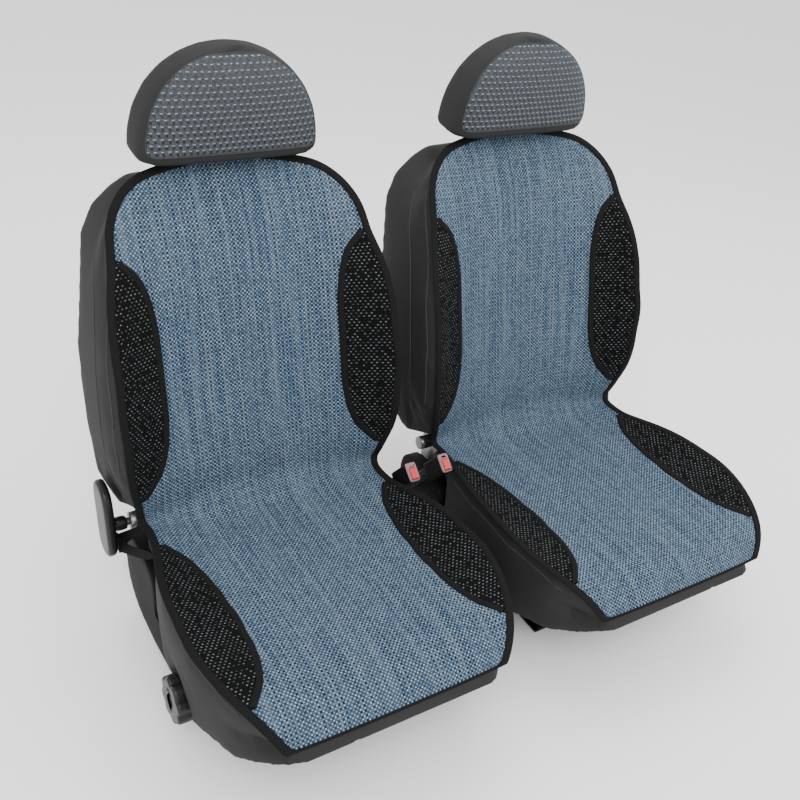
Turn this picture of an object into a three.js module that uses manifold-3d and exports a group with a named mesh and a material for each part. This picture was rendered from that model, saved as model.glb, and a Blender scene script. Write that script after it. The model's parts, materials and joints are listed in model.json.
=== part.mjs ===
// A set of two slip-on seat covers, fitted on the pair of front car seats that they are cut for.
// Millimetres, +Z up. The seats face -Y, and the left_ seat is the one at -X. The right_ seat mirrors it.
import * as THREE from "three";
import { mergeVertices } from "three/addons/utils/BufferGeometryUtils.js";
import Module from "manifold-3d";

const wasm = await Module();
wasm.setup();

// ---- Driving dimensions -------------------------------------------------------------------------
const SIZE = 0.94; // every length below is drawn for a 660 mm backrest cover, then scaled to the real 620 mm
const SEAT_PITCH = 675; // centre plane to centre plane of the two seats
const CREASE_HEIGHT = 290; // where cushion and backrest meet, above the floor
const CREASE_BACKSET = 130.3; // that crease, in front of (-) or behind (+) the middle of the object
const RECLINE = THREE.MathUtils.degToRad(23); // backrest from the vertical
const COVER_THICKNESS = 4;
const COVER_GAP = 4; // air between a cover and the upholstery under it
const PAD_OVERHANG = 9; // upholstery showing outside a cover's edge
const BOLSTER = [21, 22, 27, 25, 19, 13, 10, 9, 9, 9]; // the same for the backrest, from its foot to its top
const PIVOT = { y: 40, z: -30 }; // recline axis, from the crease
const RAIL = { x: 150, rear: 95, front: -375, width: 42, height: 24, wall: 2.5, slot: 16 };
const FOOT = { height: 6, length: 56, width: 60 };
const TUBE_RADIUS = 12;
const REAR_TUBE = { y: 20, z: -175 };
const FRONT_TUBE = { y: -330, z: -185 };
const PAN = { top: -118, bottom: -216, half: 214, wall: 3, front: -490, rear: 58 };
const POST = { x: 70, w: -16, radius: 6, bottom: 520, top: 690 };
const WHEEL = { y: -298, z: -172, radius: 47, lobes: 8, inner: 284, outer: 313 };
const ANCHOR = { y: 40, z: -142, radius: 6, head: 298.5 }; // bolt that the buckle swings on
const BUCKLE = { x: 296, y: -64, z: -28, length: 70 }; // foot of the buckle's body, on its blade
const STRAP = { width: 20, depth: new THREE.Vector3(0, -3, 0) };
const HEADREST = { u: 672, w: 34, lift: 3, height: 198, halfWidth: 173, lean: THREE.MathUtils.degToRad(-6) };
const HEADREST_DEPTH = { middle: 58, side: 32 }; // from its middle plane to its front and rear

// Surface lines of the covers: each pair is [y, z] on the cushion and [up, forward] on the backrest.
const CUSHION_MIDDLE = [[-8, -26], [-50, -30], [-110, -28], [-210, -23], [-310, -18], [-410, -12],
  [-490, -10], [-535, -18], [-566, -44], [-580, -82]];
const CUSHION_EDGE = [[-8, -2], [-50, -6], [-95, -4], [-200, 13], [-300, 20], [-400, 17],
  [-490, 0], [-532, -18], [-558, -46], [-572, -77]];
const CUSHION_WIDTH = [246, 249, 255, 283, 293, 292, 264, 240, 218, 198];
const BACK_MIDDLE = [[14, -14], [60, 2], [120, 10], [220, 22], [330, 36], [440, 50],
  [530, 54], [590, 46], [634, 36], [662, 24]];
const BACK_EDGE = [[12, 12], [40, 36], [100, 76], [200, 106], [300, 116], [400, 112],
  [490, 90], [556, 74], [610, 54], [652, 34]];
const BACK_WIDTH = [252, 262, 277, 281, 280, 275, 254, 244, 210, 146];

// ---- Small geometry tools -----------------------------------------------------------------------
const vec = (x, y, z) => new THREE.Vector3(x, y, z);
const up = vec(0, Math.sin(RECLINE), Math.cos(RECLINE)); // along the backrest
const ahead = vec(0, -Math.cos(RECLINE), Math.sin(RECLINE)); // out of the backrest's face
const onBack = (x, u, w) => vec(x, 0, 0).addScaledVector(up, u).addScaledVector(ahead, w);

function solid(geometry) {
  const bare = geometry.clone();
  bare.deleteAttribute("normal");
  bare.deleteAttribute("uv");
  const merged = mergeVertices(bare, 1e-4);
  return new wasm.Manifold(new wasm.Mesh({
    numProp: 3,
    vertProperties: new Float32Array(merged.attributes.position.array),
    triVerts: new Uint32Array(merged.index.array),
  }));
}

function geometryOf(manifold) {
  const mesh = manifold.getMesh();
  const geometry = new THREE.BufferGeometry();
  geometry.setAttribute("position", new THREE.BufferAttribute(new Float32Array(mesh.vertProperties), 3));
  geometry.setIndex(new THREE.BufferAttribute(new Uint32Array(mesh.triVerts), 1));
  return geometry;
}

const join = (...parts) => parts.map(solid).reduce((a, b) => a.add(b));
const cut = (body, ...tools) => tools.map(solid).reduce((a, b) => a.subtract(b), body);

function block(x0, x1, y0, y1, z0, z1) {
  const geometry = new THREE.BoxGeometry(x1 - x0, y1 - y0, z1 - z0);
  return geometry.translate((x0 + x1) / 2, (y0 + y1) / 2, (z0 + z1) / 2);
}

// A cylinder from x0 to x1 along X, round the line through (y, z).
function barX(x0, x1, y, z, radius, sides = 16) {
  const geometry = new THREE.CylinderGeometry(radius, radius, x1 - x0, sides);
  return geometry.rotateZ(Math.PI / 2).translate((x0 + x1) / 2, y, z);
}

// A bar with round section between two points.
function rod(a, b, radius, sides = 12) {
  const geometry = new THREE.CylinderGeometry(radius, radius, a.distanceTo(b), sides);
  const turn = new THREE.Quaternion().setFromUnitVectors(vec(0, 1, 0), b.clone().sub(a).normalize());
  return geometry.applyQuaternion(turn).translate(...a.clone().add(b).multiplyScalar(0.5).toArray());
}

// A round bar bent along a polyline with rounded corners.
function bentBar(points, radius, steps = 40, sides = 10, tension = 0.35) {
  const path = new THREE.CatmullRomCurve3(points, false, "catmullrom", tension);
  const ring = new THREE.Shape();
  ring.absarc(0, 0, radius, 0, 2 * Math.PI);
  const options = { steps, extrudePath: path, curveSegments: sides, bevelEnabled: false };
  return new THREE.ExtrudeGeometry(ring, options);
}

// A plate whose outline is drawn in the YZ plane, from x0 to x1.
function plateX(outline, x0, x1, bevel = 0) {
  const shape = new THREE.Shape(outline.map(([y, z]) => new THREE.Vector2(y, z)));
  const geometry = new THREE.ExtrudeGeometry(shape, {
    depth: x1 - x0 - 2 * bevel, bevelEnabled: bevel > 0, bevelSize: bevel, bevelThickness: bevel,
    bevelSegments: 1, bevelOffset: -bevel,
  });
  const basis = new THREE.Matrix4().makeBasis(vec(0, 1, 0), vec(0, 0, 1), vec(1, 0, 0));
  return geometry.applyMatrix4(basis).translate(x0 + bevel, 0, 0);
}

// An outline's corners rounded by a radius, as points.
function rounded(corners, radius, steps = 3) {
  const points = [];
  corners.forEach((corner, i) => {
    const at = new THREE.Vector2(...corner);
    const before = new THREE.Vector2(...corners.at(i - 1)).sub(at);
    const after = new THREE.Vector2(...corners[(i + 1) % corners.length]).sub(at);
    const reach = Math.min(radius, before.length() * 0.45, after.length() * 0.45);
    const start = at.clone().add(before.setLength(reach));
    const end = at.clone().add(after.setLength(reach));
    const curve = new THREE.QuadraticBezierCurve(start, at, end);
    for (const p of curve.getPoints(steps)) points.push([p.x, p.y]);
  });
  return points;
}

// A closed body between a front sheet and a rear sheet, both given as rows of points.
function between(front, rear) {
  const rows = front.length;
  const columns = front[0].length;
  const points = [...front.flat(), ...rear.flat()];
  const at = (side, i, j) => side * rows * columns + i * columns + j;
  const index = [];
  const quad = (a, b, c, d) => index.push(a, b, c, a, c, d);
  for (let i = 0; i < rows - 1; i++) {
    for (let j = 0; j < columns - 1; j++) {
      quad(at(0, i, j), at(0, i, j + 1), at(0, i + 1, j + 1), at(0, i + 1, j));
      quad(at(1, i, j), at(1, i + 1, j), at(1, i + 1, j + 1), at(1, i, j + 1));
    }
    quad(at(0, i, 0), at(0, i + 1, 0), at(1, i + 1, 0), at(1, i, 0));
    quad(at(0, i, columns - 1), at(1, i, columns - 1), at(1, i + 1, columns - 1), at(0, i + 1, columns - 1));
  }
  for (let j = 0; j < columns - 1; j++) {
    quad(at(0, 0, j), at(1, 0, j), at(1, 0, j + 1), at(0, 0, j + 1));
    const last = rows - 1;
    quad(at(0, last, j), at(0, last, j + 1), at(1, last, j + 1), at(1, last, j));
  }
  const geometry = new THREE.BufferGeometry();
  geometry.setAttribute("position", new THREE.Float32BufferAttribute(points.flatMap((p) => p.toArray()), 3));
  geometry.setIndex(index);
  if (volumeOf(geometry) < 0) turnInsideOut(geometry);
  return geometry;
}

function volumeOf(geometry) {
  const position = geometry.attributes.position;
  const corner = (k) => new THREE.Vector3().fromBufferAttribute(position, geometry.index.getX(k));
  let sum = 0;
  for (let k = 0; k < geometry.index.count; k += 3) {
    sum += corner(k).dot(corner(k + 1).cross(corner(k + 2))) / 6;
  }
  return sum;
}

function turnInsideOut(geometry) {
  const index = geometry.index;
  for (let k = 0; k < index.count; k += 3) {
    const second = index.getX(k + 1);
    index.setX(k + 1, index.getX(k + 2));
    index.setX(k + 2, second);
  }
}

// ---- The surface that the covers lie on ---------------------------------------------------------
// s runs from 0 to 1 along a list of values; the value there, on a smooth curve through them.
function along(values, s) {
  const place = THREE.MathUtils.clamp(s, 0, 1) * (values.length - 1);
  const i = Math.min(Math.floor(place), values.length - 2);
  const t = place - i;
  const at = (k) => values[Math.min(Math.max(k, 0), values.length - 1)];
  const [a, b, c, d] = [at(i - 1), at(i), at(i + 1), at(i + 2)];
  return 0.5 * (2 * b + (c - a) * t + (2 * a - 5 * b + 4 * c - d) * t * t + (3 * b - a - 3 * c + d) * t ** 3);
}
const alongPair = (pairs, s) => [0, 1].map((k) => along(pairs.map((p) => p[k]), s));

// A point of the seating surface; side is -1 to 1 at the cover's edges, and lift is height above the surface.
function surfacePoint(lines, s, x, lift) {
  const share = Math.min(Math.abs(x) / along(lines.width, s), 1) ** 3.4;
  const line = (t) => {
    const [a, b] = [alongPair(lines.middle, t), alongPair(lines.edge, t)];
    return [a[0] + (b[0] - a[0]) * share, a[1] + (b[1] - a[1]) * share];
  };
  const [p, q] = line(s);
  const [p0, q0] = line(s - 0.02);
  const [p1, q1] = line(s + 0.02);
  const length = Math.hypot(p1 - p0, q1 - q0);
  const offset = (lift * lines.turn) / length;
  return lines.place(x, p + offset * (q1 - q0), q - offset * (p1 - p0));
}
const CUSHION = { middle: CUSHION_MIDDLE, edge: CUSHION_EDGE, width: CUSHION_WIDTH, turn: 1, place: vec };
const BACK = { middle: BACK_MIDDLE, edge: BACK_EDGE, width: BACK_WIDTH, turn: -1, place: onBack };

// A strip of cover between two edges, over rows of s, with columns across.
function coverStrip(lines, rows, columns, lowEdge, highEdge) {
  const sheet = (lift) => rows.map((s) => Array.from({ length: columns + 1 }, (_, j) => {
    const x = THREE.MathUtils.lerp(lowEdge(s), highEdge(s), j / columns);
    return surfacePoint(lines, s, x, lift);
  }));
  return between(sheet(COVER_THICKNESS), sheet(0));
}

const rowsBetween = (a, b, count) => Array.from({ length: count + 1 }, (_, i) => a + ((b - a) * i) / count);

// Inner edge of a side panel: a long leaf that starts and ends on the cover's outer edge.
function leafEdge(start, end, inner, outer) {
  return (s) => {
    const t = THREE.MathUtils.clamp((2 * s - start - end) / (end - start), -1, 1);
    return outer(s) - (outer(s) - inner) * (1 - Math.abs(t) ** 3.2) ** 0.7;
  };
}
const backWidth = (s) => along(BACK_WIDTH, s);
const cushionWidth = (s) => along(CUSHION_WIDTH, s);
const BACK_LEAF = { start: 0.13, end: 0.675, inner: 192 };
const CUSHION_LEAF = { start: 0.2, end: 0.69, inner: 198 };
const backLeaf = leafEdge(BACK_LEAF.start, BACK_LEAF.end, BACK_LEAF.inner, backWidth);
const cushionLeaf = leafEdge(CUSHION_LEAF.start, CUSHION_LEAF.end, CUSHION_LEAF.inner, cushionWidth);
const SEAM_GAP = 0.4;
const LEAF_TRIM = 0.012; // share of the length left off each end of a side panel, where it is a sliver

function matGeometry(lines, leaf, width, rows) {
  const edge = (s) => Math.min(leaf(s) - SEAM_GAP, width(s));
  return coverStrip(lines, rows, 8, (s) => -edge(s), edge);
}

const leafRows = (span) => rowsBetween(span.start + LEAF_TRIM, span.end - LEAF_TRIM, 9);

function leafGeometry(lines, span, leaf, width, sign) {
  const rows = leafRows(span);
  return coverStrip(lines, rows, 2, (s) => sign * (leaf(s) + SEAM_GAP), (s) => sign * width(s));
}

// ---- Upholstery ---------------------------------------------------------------------------------
const rimColumns = [1, 0.999, 0.975, 0.93, 0.83, 0.72, 0.58, 0.3];
const columnsAcross = [...rimColumns.map((c) => -c), 0, ...rimColumns.toReversed()];
const PAD_DROP = { 1: 70, 0.999: 34, 0.975: 12 }; // how far the rim of a pad rolls off behind its face

function padFace(lines, s, half) {
  return columnsAcross.map((c) => {
    const drop = (PAD_DROP[Math.abs(c)] ?? 0) + COVER_GAP;
    return surfacePoint(lines, s, c * half, -drop);
  });
}

// Rods in the lines of both headrest posts, between two heights up the backrest.
function postBores(low, high, radius, sides) {
  return [-1, 1].map((k) => rod(onBack(k * POST.x, low, POST.w), onBack(k * POST.x, high, POST.w), radius, sides));
}

function backPad() {
  const rows = [0, 0.1, 0.2, 0.32, 0.48, 0.64, 0.76, 0.86, 0.93, 0.98];
  const depths = [-84, -96, -104, -106, -106, -106, -106, -96, -80, -60];
  const halves = rows.map((s, i) => backWidth(s) + BOLSTER[i]);
  const front = rows.map((s, i) => padFace(BACK, s, halves[i]));
  const rear = rows.map((s, i) => columnsAcross.map((c) => {
    const u = alongPair(BACK_EDGE, s)[0] + 4;
    const corner = { 1: 16, 0.999: 5 }[Math.abs(c)] ?? 0;
    return onBack(c * halves[i], u, depths[i] + corner);
  }));
  const pad = join(between(front, rear), barX(-196, 196, PIVOT.y, PIVOT.z, 36, 20));
  const pocket = join(block(-213, 213, -120, 560, -120, -36), block(-190, 190, 550, 612, -120, -36));
  const socketRoom = tilted(block(-100, 100, 500, 612, -120, -24));
  const armRoom = [-1, 1].map((k) => tilted(block(k * 205 - 12, k * 205 + 12, -120, 116, -120, -16)));
  const hingeRoom = [-1, 1].map((k) => tilted(block(k * 218 - 8, k * 218 + 8, -120, 36, -120, 0)));
  const holes = postBores(480, 720, 15, 10);
  return geometryOf(cut(pad, tilted(geometryOf(pocket)), socketRoom, ...armRoom, ...hingeRoom, ...holes));
}

// Turns a piece drawn with Y up the backrest and Z out of its face into the seat's directions.
function tilted(geometry) {
  return geometry.applyMatrix4(new THREE.Matrix4().makeBasis(vec(1, 0, 0), up, ahead));
}

function cushionPad() {
  const rows = [0, 0.1, 0.2, 0.33, 0.5, 0.65, 0.76, 0.85, 0.92, 0.98];
  const floors = [-120, -150, -184, -190, -178, -142, -116, -101, -92, -86];
  const halves = rows.map((s) => cushionWidth(s) + PAD_OVERHANG);
  const front = rows.map((s, i) => padFace(CUSHION, s, halves[i]));
  const rear = rows.map((s, i) => columnsAcross.map((c) => {
    const y = alongPair(CUSHION_EDGE, s)[0] - Math.max(0, s - 0.8) * 40;
    return vec(c * halves[i] * 0.975, y, floors[i]);
  }));
  const { half, wall, top } = PAN;
  const room = block(-half - wall, half + wall, PAN.front - 8, 80, -260, top + 1);
  const arc = barX(-300, 300, PIVOT.y, PIVOT.z, 54, 28);
  const sides = (a, b, make) => [-1, 1].map((k) => make(Math.min(k * a, k * b), Math.max(k * a, k * b)));
  const scoops = sides(216, 330, (a, b) => barX(a, b, WHEEL.y, WHEEL.z - 4, 57, 16));
  const hingeRoom = sides(206, 330, (a, b) => block(a, b, -76, 120, -260, -46));
  return geometryOf(cut(solid(between(front, rear)), room, arc, ...scoops, ...hingeRoom));
}

function headrestPad() {
  const { height, halfWidth, lean } = HEADREST;
  const { middle, side } = HEADREST_DEPTH;
  const levels = [0, 0.06, 0.22, 0.42, 0.62, 0.78, 0.9, 0.98];
  const across = [-1, -0.93, -0.72, -0.38, 0, 0.38, 0.72, 0.93, 1];
  const rowsOf = (sign) => levels.map((level) => {
    const half = halfWidth * (1 - level ** 2.4) ** 0.5 * (level < 0.03 ? 0.96 : 1) + 6;
    return across.map((c) => {
      const round = (1 - Math.abs(c) ** 5) ** 0.5;
      const bulge = sign * (side + (middle - side) * round) * (1 - 0.4 * level ** 3);
      return vec(c * half, -bulge + 10 * level, level * height);
    });
  });
  const foot = onBack(0, HEADREST.u, HEADREST.w);
  const pad = between(rowsOf(1), rowsOf(-1)).rotateX(-lean).translate(0, foot.y, foot.z + HEADREST.lift);
  return geometryOf(solid(pad).subtract(postsBody(POST.radius + 0.6)));
}

// Two straight legs that slide in the guides, joined by a bar that is cranked forward inside the headrest.
function postsBody(radius) {
  const foot = onBack(0, HEADREST.u, HEADREST.w);
  const leg = (k, u) => onBack(k * POST.x, u, POST.w);
  const shoulder = (k, x, rise) => vec(k * x, foot.y + 6 + 0.1 * rise, foot.z + rise);
  const side = (k) => [leg(k, POST.top - 12), leg(k, POST.top - 4), shoulder(k, POST.x, 46),
    shoulder(k, POST.x, 56), shoulder(k, POST.x - 12, 64)];
  const bow = bentBar([...side(-1), ...side(1).toReversed()], radius, 16, 3);
  const legs = [-1, 1].map((k) => rod(leg(k, POST.bottom), leg(k, POST.top - 10), radius, 10));
  return join(bow, ...legs);
}

// ---- Steel frame of the backrest ----------------------------------------------------------------
function backFrame() {
  const w = -62; // behind the face of the covers
  const side = 185;
  const arc = [[-side, 60], [-side, 300], [-side, 520], [-160, 575], [-110, 590], [0, 592],
    [110, 590], [160, 575], [side, 520], [side, 300], [side, 60]];
  const hoop = bentBar(arc.map(([x, u]) => onBack(x, u, w)), 11, 16, 3);
  const sill = rod(onBack(-side, 86, w), onBack(side, 86, w), 9, 8);
  const wires = [230, 350].map((u) => rod(onBack(-side, u, w + 6), onBack(side, u, w + 5), 3, 6));
  const sockets = postBores(520, 606, 13.5, 12);
  const brackets = [540, 583].map((u) => tilted(block(-86, 86, u, u + 4, w - 2, POST.w - 9)));
  const arm = [[-40, -74], [-40, -26], [10, -26], [96, -42], [150, -44], [150, -84], [20, -84]];
  const outline = rounded(arm, 16, 2);
  const arms = [-1, 1].map((k) => tilted(plateX(outline, k * 200 - 3, k * 200 + 3)));
  const feet = [-1, 1].map((k) => rod(onBack(k * 180, 100, w), onBack(k * 199, 100, w), 10, 8));
  const body = join(hoop, sill, ...wires, ...sockets, ...brackets, ...arms, ...feet);
  const bores = postBores(500, 640, 10.2, 10);
  return geometryOf(cut(body, ...bores, barX(-230, 230, PIVOT.y, PIVOT.z, 8.6)));
}

function backPanel() {
  const half = [[196, -36], [202, 40], [230, 120], [238, 300], [228, 470], [176, 556]];
  const outline = rounded([...half, ...half.toReversed().map(([x, u]) => [-x, u])], 40, 2);
  const shape = new THREE.Shape(outline.map(([x, u]) => new THREE.Vector2(x, u)));
  const board = new THREE.ExtrudeGeometry(shape, { depth: 3, bevelEnabled: false });
  return tilted(board).translate(...ahead.clone().multiplyScalar(-111).toArray());
}

// The sleeve and collar that one headrest post slides in; the outer one has a slot for its release button.
function headrestGuide(sign) {
  const at = (u) => onBack(sign * POST.x, u, POST.w);
  const sleeve = rod(at(540), at(668), 9.5, 10);
  const collar = rod(at(663), at(669), 18, 14);
  const bore = rod(at(500), at(700), POST.radius + 0.6, 10);
  const slot = tilted(block(-POST.x - 22, -POST.x - 11, 660, 672, POST.w - 5, POST.w + 5));
  return geometryOf(cut(join(sleeve, collar), bore, ...(sign < 0 ? [slot] : [])));
}

function guideButton() {
  return tilted(block(-POST.x - 26, -POST.x - 15, 664, 668, POST.w - 4.4, POST.w + 4.4));
}

// ---- Rails and seat base ------------------------------------------------------------------------
// Runs a maker of parts once for each side of the seat.
const bothSides = (make) => [-1, 1].flatMap(make);

function floorRails() {
  const floor = -CREASE_HEIGHT;
  const base = floor + FOOT.height;
  const top = base + RAIL.height;
  const overrun = 5;
  const long = (x, half, y0, y1, z0, z1) => block(x - half, x + half, y0, y1, z0, z1);
  const channels = bothSides((k) => long(k * RAIL.x, RAIL.width / 2, RAIL.front, RAIL.rear, base - 0.5, top));
  const strapAt = (y) => block(-RAIL.x, RAIL.x, y - 14, y + 14, base - 3, base + 2);
  const straps = [strapAt(RAIL.front + 50), strapAt(RAIL.rear - 50)];
  const feet = bothSides((k) => [RAIL.front, RAIL.rear - FOOT.length].map((y) =>
    long(k * RAIL.x, FOOT.width / 2, y, y + FOOT.length, floor, base)));
  const hollows = bothSides((k) => long(k * RAIL.x, RAIL.width / 2 - RAIL.wall, RAIL.front - overrun,
    RAIL.rear + overrun, base + RAIL.wall, top - RAIL.wall));
  const slots = bothSides((k) => long(k * RAIL.x, RAIL.slot / 2, RAIL.front - overrun,
    RAIL.rear + overrun, top - RAIL.wall - 1, top + 1));
  return geometryOf(cut(join(...channels, ...straps, ...feet), ...hollows, ...slots));
}

function slider() {
  const base = -CREASE_HEIGHT + FOOT.height;
  const [front, rear] = [RAIL.front + 60, RAIL.rear - 15];
  const runners = bothSides((k) => {
    const x = k * RAIL.x;
    const stands = [REAR_TUBE, FRONT_TUBE].map(({ y, z }) =>
      plateX([[y - 34, base + 32], [y + 34, base + 32], [y + 17, z + 16], [y - 17, z + 16]], x - 4, x + 4));
    return [block(x - 14, x + 14, front, rear, base + 6, base + 13),
      block(x - 4, x + 4, front, rear, base + 10, base + 40), ...stands];
  });
  const rearTube = barX(-236, 236, REAR_TUBE.y, REAR_TUBE.z, TUBE_RADIUS);
  const frontTube = barX(-160, 160, FRONT_TUBE.y, FRONT_TUBE.z, TUBE_RADIUS, 12);
  return geometryOf(join(...runners, rearTube, frontTube));
}

function cushionPan() {
  const { half, wall, top, bottom, front, rear } = PAN;
  const tray = join(
    block(-half, half, front, rear, top - wall, top),
    block(-half, -half + wall, front, rear, bottom, top),
    block(half - wall, half, front, rear, bottom, top),
    block(-half, half, front, front + wall, top - 14, top),
  );
  const relief = block(-230, 230, front - 10, -400, bottom - 10, top - 14);
  const hole = barX(-240, 240, REAR_TUBE.y, REAR_TUBE.z, TUBE_RADIUS + 0.4);
  const spindle = barX(-240, 240, WHEEL.y, WHEEL.z, 7);
  const shaftRoom = barX(-300, 300, PIVOT.y, PIVOT.z, 52);
  return geometryOf(cut(tray, relief, hole, spindle, shaftRoom));
}

// The plate that carries the recline axis; the inner one also has the bolt that the buckle swings on.
function hingePlate(sign) {
  const eye = Array.from({ length: 9 }, (_, i) => THREE.MathUtils.degToRad(205 - 28.5 * i))
    .map((angle) => [PIVOT.y + 44 * Math.cos(angle), PIVOT.z + 44 * Math.sin(angle)]);
  const outline = [[-56, -206], [-50, -120], ...eye, [80, -120], [64, -206]];
  const near = PAN.half + 1;
  const plate = plateX(outline, sign > 0 ? near : -near - 6, sign > 0 ? near + 6 : -near);
  const bolt = [barX(near + 3, ANCHOR.head + 1, ANCHOR.y, ANCHOR.z, ANCHOR.radius, 12),
    barX(ANCHOR.head, ANCHOR.head + 5, ANCHOR.y, ANCHOR.z, 10, 6)];
  const hole = (at, radius) => barX(-260, 260, at.y, at.z, radius);
  const holes = [hole(PIVOT, 8.6), hole(REAR_TUBE, TUBE_RADIUS + 0.4)];
  return geometryOf(cut(sign > 0 ? join(plate, ...bolt) : solid(plate), ...holes));
}

// A moulded cover over the foot of the hinge, open towards the frame.
function sideShield(sign) {
  const corners = [[-236, -226], [-190, -266], [-60, -274], [30, -262], [86, -222], [106, -132], [92, -92],
    [34, -84], [-36, -88], [-72, -112], [-74, -200], [-220, -204]];
  const inner = [[-230, -225], [-188, -262], [-60, -270], [29, -258], [82, -220], [102, -131], [89, -96],
    [34, -88], [-35, -92], [-68, -114], [-70, -204], [-217, -208]];
  const shell = solid(plateX(rounded(corners, 24, 2), 226, 260, 3));
  const body = cut(shell, plateX(rounded(inner, 20, 1), 200, 256.5));
  const bolt = barX(200, 270, ANCHOR.y, ANCHOR.z, ANCHOR.radius + 1, 12);
  return sign > 0 ? geometryOf(cut(body, bolt)) : mirrored(geometryOf(body));
}

function slideBar() {
  const z = -CREASE_HEIGHT + FOOT.height + RAIL.height + 12;
  const y0 = RAIL.front + 96;
  const points = [vec(-128, y0, z), vec(-128, -380, z + 4), vec(-122, -440, z + 22), vec(-96, -470, z + 30),
    vec(0, -474, z + 31), vec(96, -470, z + 30), vec(122, -440, z + 22), vec(128, -380, z + 4),
    vec(128, y0, z)];
  const bow = bentBar(points, 5, 18, 3);
  const pins = bothSides((k) => barX(k * 132.5 - 12.5, k * 132.5 + 12.5, y0, z, 6, 10));
  return geometryOf(join(bow, ...pins));
}

// ---- Controls -----------------------------------------------------------------------------------
function handWheel(sign) {
  const outline = new THREE.Shape();
  const count = WHEEL.lobes * 4;
  for (let i = 0; i < count; i++) {
    const angle = (2 * Math.PI * i) / count;
    const radius = WHEEL.radius - 4 * (1 + Math.cos(WHEEL.lobes * angle)) ** 2 * 0.5;
    outline[i ? "lineTo" : "moveTo"](radius * Math.cos(angle), radius * Math.sin(angle));
  }
  const points = outline.getPoints().map((p) => [p.x + WHEEL.y, p.y + WHEEL.z]);
  const rim = plateX(points, WHEEL.inner, WHEEL.outer, 3);
  const spindle = barX(PAN.half - 12, WHEEL.inner + 4, WHEEL.y, WHEEL.z, 6.6);
  const dish = barX(WHEEL.outer - 4, WHEEL.outer + 4, WHEEL.y, WHEEL.z, 27, 16);
  const body = cut(join(rim, spindle), dish);
  return sign > 0 ? geometryOf(body) : mirrored(geometryOf(body));
}

function reclinerShaft() {
  const collar = barX(-268, -222, PIVOT.y, PIVOT.z, 18, 20);
  const innerCollar = barX(222, 262, PIVOT.y, PIVOT.z, 16, 16);
  return geometryOf(join(barX(-303, 226, PIVOT.y, PIVOT.z, 8), collar, innerCollar));
}

function reclinerHandle() {
  const corners = [[26, -104], [12, -70], [36, 30], [58, 52], [98, 50], [110, 24], [84, -84], [66, -106]];
  const plate = plateX(rounded(corners, 22, 2), -318, -298, 5);
  const boss = barX(-300, -274, PIVOT.y, PIVOT.z, 15, 12);
  const bore = barX(-304, -270, PIVOT.y, PIVOT.z, 8.3);
  return geometryOf(cut(join(plate, boss), bore));
}

function buckleStalk() {
  const foot = [[62, -150], [40, -164], [18, -150]];
  const tip = [[-10, 0], [-18, 24], [-4, 30], [10, 6]].map(([y, z]) => [BUCKLE.y + y, BUCKLE.z + z]);
  const blade = plateX(rounded([...foot, ...tip], 8, 2), BUCKLE.x - 2, BUCKLE.x + 2);
  const eye = barX(264, ANCHOR.head - 0.5, ANCHOR.y, ANCHOR.z, 15);
  return geometryOf(cut(join(blade, eye), barX(255, 305, ANCHOR.y, ANCHOR.z, ANCHOR.radius + 0.5, 12)));
}

function buckleFrame() {
  const direction = vec(0, -0.62, 0.78).normalize();
  const matrix = new THREE.Matrix4().makeBasis(vec(1, 0, 0), vec(0, direction.z, -direction.y), direction);
  return { matrix, foot: vec(BUCKLE.x, BUCKLE.y, BUCKLE.z) };
}

// An outline drawn out along Z, with both ends chamfered.
function chamfered(outline, depth, bevelSize, bevelThickness) {
  const shape = new THREE.Shape(outline.map(([x, y]) => new THREE.Vector2(x, y)));
  const options = { depth, bevelEnabled: true, bevelSize, bevelThickness, bevelSegments: 1 };
  return new THREE.ExtrudeGeometry(shape, { ...options, bevelOffset: -bevelSize });
}

function buckleBody() {
  const { matrix, foot } = buckleFrame();
  const outline = rounded([[-13, -21], [13, -21], [13, 21], [-13, 21]], 6);
  const housing = chamfered(outline, BUCKLE.length, 3, 3);
  const well = block(-9.5, 9.5, -17.5, 10, 62, 90);
  const mouth = block(-9, 9, 12, 16, 40, 90);
  const bladeRoom = block(-2.6, 2.6, -30, 30, -10, 30);
  const body = cut(solid(housing), well, mouth, bladeRoom);
  return geometryOf(body).applyMatrix4(matrix).translate(foot.x, foot.y, foot.z);
}

function buckleButton() {
  const { matrix, foot } = buckleFrame();
  const cap = chamfered(rounded([[-9, -17], [9, -17], [9, 9.5], [-9, 9.5]], 3), 6, 1.5, 2);
  return cap.translate(0, 0, 68).applyMatrix4(matrix).translate(foot.x, foot.y, foot.z);
}

// An elastic loop of the cover, from its crease round the foot of the recliner handle and back.
function coverStrap() {
  const crease = vec(-258, -12, -14);
  const side = vec(-262, -84, -26);
  const high = vec(-290, 44, -72);
  const low = vec(-290, 40, -90);
  const rise = vec(0, 0.5, 0.86).multiplyScalar(STRAP.width / 2);
  const leg = (a, b) => between(
    [a, b].map((p) => [p.clone().add(rise), p.clone().sub(rise)]),
    [a, b].map((p) => [p.clone().add(rise).add(STRAP.depth), p.clone().sub(rise).add(STRAP.depth)]),
  );
  const wrap = block(-292, -288, 34, 54, -103, -62);
  return geometryOf(join(leg(crease, high), leg(side, low), wrap));
}

// ---- Materials ----------------------------------------------------------------------------------
const finish = (color, roughness, metalness = 0) =>
  new THREE.MeshStandardMaterial({ color, roughness, metalness });
const MATERIALS = {
  tweed: finish(0x6f8ba6, 0.9),
  spacerMesh: finish(0x1f1f20, 0.9),
  upholstery: finish(0x46474a, 0.95),
  plastic: finish(0x2c2b2a, 0.55),
  steel: finish(0x8c8f92, 0.4, 0.9),
  darkSteel: finish(0x2d2e30, 0.5, 0.8),
  red: finish(0xd0343c, 0.35),
  elastic: finish(0x202022, 0.95),
};

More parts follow.
